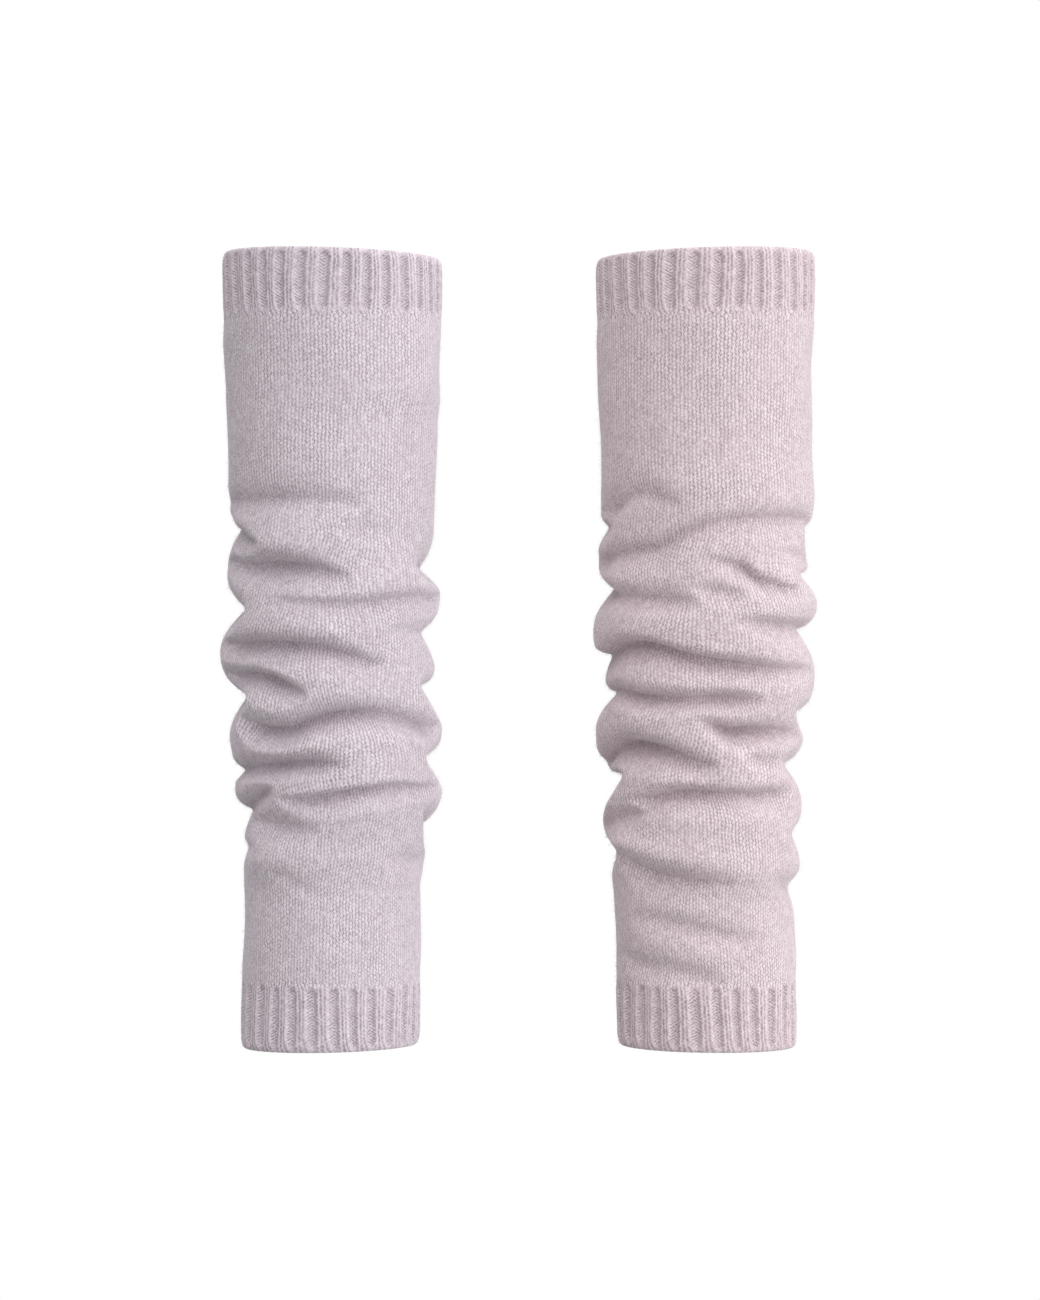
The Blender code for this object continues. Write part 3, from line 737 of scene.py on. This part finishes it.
def body_stitches(add, across, climb):
    """Plain knitting has two legs of yarn to a wale: a cosine with two turns to a wale makes the gaps between
    them. Another along the courses makes each gap deep once a course, half a course on beside every second
    leg. 1 is on top of a leg, and 0 or less is deep."""
    legs = add(MATH, (across, LEGS_PER_WALE), operation="MULTIPLY")
    hole = add(MATH, (add(MATH, (legs,), operation="FLOOR"), 0.5, climb), operation="MULTIPLY_ADD")
    hole = add(MATH, (wave(add, hole), 0.5, 0.62), operation="MULTIPLY_ADD")
    gap = add(MATH, (wave(add, legs), 0.5, 0.5), operation="MULTIPLY_ADD")
    return add(MATH, (add(MATH, (gap, hole), operation="MULTIPLY"), -1.0, 1.0), operation="MULTIPLY_ADD")


def cuff_stitches(add, across, climb):
    """Ribbing: straight lines through RIB_LEGS for the legs of yarn up each rib, with small beads along them.
    On its panel purl loops, from a cosine along the courses that slants towards the rim on both sides of the
    loops' middle. Next to the seam it turns into plain knitting. The higher, the nearer."""
    phase = add(MATH, (across,), operation="FRACT")
    legs = add("ShaderNodeValToRGB", (phase,))
    stops = legs.node.color_ramp.elements
    for count, (place, height) in enumerate(RIB_LEGS):
        stop = stops[count] if count < 2 else stops.new(place)
        stop.position = place
        stop.color = (height, height, height, 1.0)
    panel = add("ShaderNodeAttribute", out="Fac", attribute_name="panel")
    ribbed = add("ShaderNodeAttribute", out="Fac", attribute_name="ribbed")
    fine = add(MATH, (across, COLUMNS_PER_RIB), operation="MULTIPLY")
    aside = add(MATH, (add(MATH, (phase, LOOPS_MIDDLE), operation="SUBTRACT"),), operation="ABSOLUTE")
    level = add(MATH, (climb, LOOPS_PER_COURSE), operation="MULTIPLY")
    slant = add(MATH, (aside, -LOOPS_SLANT, level), operation="MULTIPLY_ADD")
    loops = add(MATH, (wave(add, fine), 0.15, 0.28), operation="MULTIPLY_ADD")
    loops = add(MATH, (loops, wave(add, slant)), operation="MULTIPLY")
    bead = add(MATH, (add(MATH, (fine,), operation="FLOOR"), 0.5, climb), operation="MULTIPLY_ADD")
    legs = add(MATH, (wave(add, bead), 0.1, legs), operation="MULTIPLY_ADD")
    rib = add(MATH, (loops, panel, legs), operation="MULTIPLY_ADD")
    plain = body_stitches(add, add(MATH, (across, WALES_PER_RIB), operation="MULTIPLY"), climb)
    return add("ShaderNodeMix", {0: ribbed, 2: plain, 3: rib}, data_type="FLOAT")


def knit_material(warmer, part):
    """Soft wool-blend knit in one heathered colour. A brushed nap veils the stitches in patches, and pale and
    dark fibres speck them. Painted shade darkens the knit in the creases, the deeper they are, and the
    stitches carry painted shade between their loops and painted light on them. Matt, but pale where it is
    seen edge on."""
    finish = FINISHES[part]
    name = warmer.side + finish.name
    if name in bpy.data.materials:
        return bpy.data.materials[name]
    shade = yarn(warmer)
    # deep is painted shade between the loops and in the creases, and the darkest random tone. pale is painted
    # light on the loops, and the palest tone
    deep = [c * darker for c, darker in zip(shade, SHADE_AND_DARK_TONE)]
    pale = [min(1.0, c * lighter) for c, lighter in zip(shade, ON_LOOPS)]
    material = bpy.data.materials.new(name)
    material.use_nodes = True
    tree = material.node_tree
    add = partial(add_node, tree)
    place = add("ShaderNodeTexCoord", out="Object")
    veil, fleck, grain = (
        add("ShaderNodeTexNoise", {"Vector": place, "Scale": 1.0 / (size * MM), "Detail": detail})
        for size, detail in ((VEIL_PATCH, 3.0), (FLECK, 2.0), (FIBRE_GRAIN, 2.0)))
    stitch = add("ShaderNodeSeparateXYZ", (add("ShaderNodeUVMap", uv_map="stitches"),)).node.outputs
    moved = add("ShaderNodeSeparateColor", (fleck.node.outputs["Color"],)).node.outputs
    across = add(MATH, (moved["Red"], finish.aside, stitch["X"]), operation="MULTIPLY_ADD")
    climb = add(MATH, (moved["Green"], finish.up, stitch["Y"]), operation="MULTIPLY_ADD")
    relief = (body_stitches if part == "body" else cuff_stitches)(add, across, climb)
    column = add(MATH, (add(MATH, (across, finish.columns), operation="MULTIPLY"),), operation="FLOOR")
    cell = add("ShaderNodeCombineXYZ", (column, add(MATH, (climb,), operation="FLOOR")))
    loop = add("ShaderNodeTexWhiteNoise", {"Vector": cell}, noise_dimensions="2D")
    bare = add(MATH, (veil, finish.clear), operation="MULTIPLY")    # how clearly the stitches show here

    # From 0, as between the loops, to 1, as on them: what each pattern adds on either side of its middle. The
    # stitches' relief is painted shade between the loops and painted light on them. The other patterns are
    # the yarn's random tone.
    # painted shade in the creases, darker the deeper the crease
    pressed = add("ShaderNodeAttribute", out="Fac", attribute_name="pressed")
    tint = add(MATH, (pressed, -0.3, 0.5), operation="MULTIPLY_ADD")
    patterns = ((relief, 0.6, bare), (loop, 0.5, 0.26), (grain, 0.5, 1.3), (fleck, 0.5, 0.4))
    for value, middle, weight in patterns:
        above = add(MATH, (value, middle), operation="SUBTRACT")
        tint = add(MATH, (above, weight, tint), operation="MULTIPLY_ADD")
    colour = add("ShaderNodeMix", {0: tint, 6: deep + [1.0], 7: pale + [1.0]}, out=2, data_type="RGBA")
    relief = add(MATH, (relief, bare), operation="MULTIPLY")
    surface = add(MATH, (grain, 0.8, relief), operation="MULTIPLY_ADD")
    bump = add("ShaderNodeBump", {"Height": surface, "Strength": 0.7, "Distance": 0.5 * MM})
    shader = tree.nodes["Principled BSDF"].inputs
    tree.links.new(colour, shader["Base Color"])
    tree.links.new(bump, shader["Normal"])
    shader["Roughness"].default_value = 0.95
    shader["Specular IOR Level"].default_value = 0.15
    shader["Sheen Weight"].default_value = finish.sheen
    shader["Sheen Tint"].default_value = [0.5 * c + 0.5 for c in shade] + [1.0]
    shader["Sheen Roughness"].default_value = 0.2
    return material


def fibre_material(warmer):
    """A single matt wool fibre, much paler than the knit. The paleness is partly painted light: the glow of
    light through the nap where it is seen edge on.
    """
    material = bpy.data.materials.new(warmer.side + "_loose_wool_fibre")
    material.use_nodes = True
    shader = material.node_tree.nodes["Principled BSDF"].inputs
    # pale partly as painted light, for the glow through the nap seen edge on
    shader["Base Color"].default_value = [0.3 * c + 0.7 for c in yarn(warmer)] + [1.0]
    shader["Roughness"].default_value = 1.0
    shader["Specular IOR Level"].default_value = 0.1
    return material


# ----------------------------------------
# Operators
def dress(piece, node):
    """Ties a finished piece to the frame."""
    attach(piece, "root")
    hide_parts(node)


class KnitUpperCuffs(bpy.types.Operator):
    """Knits the wide ribbed cuff at the top of each warmer"""
    bl_idname = "arm_warmers.upper_cuffs"
    bl_label = "Upper cuffs"

    def execute(self, context):
        for warmer in WARMERS:
            rim, seam, _, _ = cuff_heights(warmer)
            piece = make_cuff(warmer, warmer.side + "_upper_cuff_rib", warmer.upper_ribs, rim, seam)
            dress(piece, warmer.side + "_upper_cuff")
        return {"FINISHED"}


class KnitBodies(bpy.types.Operator):
    """Knits the plain tube of each warmer, slouched in folds"""
    bl_idname = "arm_warmers.bodies"
    bl_label = "Bodies"

    def execute(self, context):
        for warmer in WARMERS:
            dress(make_body(warmer), warmer.side + "_body")
        return {"FINISHED"}


class KnitLowerCuffs(bpy.types.Operator):
    """Knits the narrower ribbed cuff at the bottom of each warmer"""
    bl_idname = "arm_warmers.lower_cuffs"
    bl_label = "Lower cuffs"

    def execute(self, context):
        for warmer in WARMERS:
            _, _, seam, rim = cuff_heights(warmer)
            piece = make_cuff(warmer, warmer.side + "_lower_cuff_rib", warmer.lower_ribs, rim, seam)
            dress(piece, warmer.side + "_lower_cuff")
        return {"FINISHED"}


class RaiseTheNap(bpy.types.Operator):
    """Brushes stray fibres up all over both warmers"""
    bl_idname = "arm_warmers.nap"
    bl_label = "Nap"

    def execute(self, context):
        for warmer in WARMERS:
            piece = make_nap(warmer)
            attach(piece, "root")
        return {"FINISHED"}


# The stage, in metres
OFF_CENTRE = 0.0003         # the camera's middle, from halfway between both axes towards +X
FLOOR_RADIUS = 1.5
FLOOR_DROP = 0.75           # of the floor, from the camera's middle
CARD_SIZE = (0.06, 0.36)
CARD_FORWARD = 0.012        # of the card's middle, from the axes
BRIGHT_SIDE = (0.67, -0.20, 0.71)       # towards the soft box's brightest part: right, front, top


class SetTheStage(bpy.types.Operator):
    """Sets a pale floor, soft studio light and the camera"""
    bl_idname = "arm_warmers.stage"
    bl_label = "Stage"

    def execute(self, context):
        stage = context.scene.arm_warmer_stage
        low, high = (np.array(corner) for corner in CAD_BOX)
        axes = [axis_x(warmer.side) * MM for warmer in WARMERS]
        middle = Vector((sum(axes) / 2 + OFF_CENTRE, 0.0, (low[2] + high[2]) / 2))

        bpy.ops.mesh.primitive_circle_add(vertices=96, radius=FLOOR_RADIUS, fill_type="NGON")
        floor = context.object
        floor.name = "pale_floor"
        floor.location = (middle.x, 0.0, middle.z - FLOOR_DROP)
        paper = bpy.data.materials.new("pale_paper")
        paper.use_nodes = True
        paper.node_tree.nodes["Principled BSDF"].inputs["Base Color"].default_value = solid("#E7E7E7")
        paper.node_tree.nodes["Principled BSDF"].inputs["Roughness"].default_value = 0.9
        floor.data.materials.append(paper)
        floor.visible_diffuse = False       # so that no light comes up from it
        floor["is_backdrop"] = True

        card = bpy.data.lights.new("card_between", "AREA")
        card.shape = "RECTANGLE"
        card.size, card.size_y = CARD_SIZE
        card.energy = stage.card
        card_place = bpy.data.objects.new("card_between", card)
        card_place.location = (middle.x, -CARD_FORWARD, middle.z)
        card_place.rotation_euler = (math.pi / 2, 0.0, math.pi / 2)      # faces the left warmer
        card_place.visible_camera = False
        context.scene.collection.objects.link(card_place)

        world = bpy.data.worlds.new("soft_box")
        world.use_nodes = True
        tree = world.node_tree
        add = partial(add_node, tree)
        way = add("ShaderNodeTexCoord", out="Generated")
        toward = add("ShaderNodeVectorMath", (way, BRIGHT_SIDE), out="Value", operation="DOT_PRODUCT")
        glow = add(MATH, (toward, stage.slant, stage.room), operation="MULTIPLY_ADD")
        seen = add("ShaderNodeLightPath", out="Is Camera Ray")
        backdrop = add("ShaderNodeMix", {0: seen, 2: glow, 3: 1.0}, data_type="FLOAT")
        tree.links.new(backdrop, tree.nodes["Background"].inputs["Strength"])
        tree.nodes["Background"].inputs["Color"].default_value = solid("#FFFFFF")
        context.scene.world = world
        context.scene.view_settings.view_transform = "Standard"

        lens = bpy.data.cameras.new("camera")
        lens.sensor_fit = "VERTICAL"
        lens.sensor_height = 24.0
        lens.lens = lens.sensor_height * stage.camera_distance / stage.view_height
        camera = bpy.data.objects.new("camera", lens)
        camera.location = middle + Vector((0.0, -stage.camera_distance, 0.0))
        camera.rotation_euler = (math.pi / 2, 0.0, 0.0)
        context.scene.collection.objects.link(camera)
        context.scene.camera = camera
        return {"FINISHED"}


class ArmWarmerPanel(bpy.types.Panel):
    bl_idname = "VIEW3D_PT_arm_warmers"
    bl_label = "Arm warmers"
    bl_space_type = "VIEW_3D"
    bl_region_type = "UI"
    bl_category = "Arm warmers"

    def draw(self, context):
        for group in (context.scene.arm_warmer_knit, context.scene.arm_warmer_stage):
            for name in group.__annotations__:
                self.layout.prop(group, name)
        for operator in OPERATORS:
            self.layout.operator(operator.bl_idname)


OPERATORS = (KnitUpperCuffs, KnitBodies, KnitLowerCuffs, RaiseTheNap, SetTheStage)
CLASSES = (KnitSettings, StageSettings) + OPERATORS + (ArmWarmerPanel,)


def register():
    for each in CLASSES:
        bpy.utils.register_class(each)
    bpy.types.Scene.arm_warmer_knit = PointerProperty(type=KnitSettings)
    bpy.types.Scene.arm_warmer_stage = PointerProperty(type=StageSettings)


def unregister():
    del bpy.types.Scene.arm_warmer_stage
    del bpy.types.Scene.arm_warmer_knit
    for each in reversed(CLASSES):
        bpy.utils.unregister_class(each)


def main():
    register()
    bpy.ops.arm_warmers.upper_cuffs()
    bpy.ops.arm_warmers.bodies()
    bpy.ops.arm_warmers.lower_cuffs()
    bpy.ops.arm_warmers.nap()
    bpy.ops.arm_warmers.stage()
    boxes = {"cad": CAD_BOX, "visual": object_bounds()}
    boxes = {name: [[float(v) for v in corner] for corner in box] for name, box in boxes.items()}


if __name__ == "__main__":
    main()
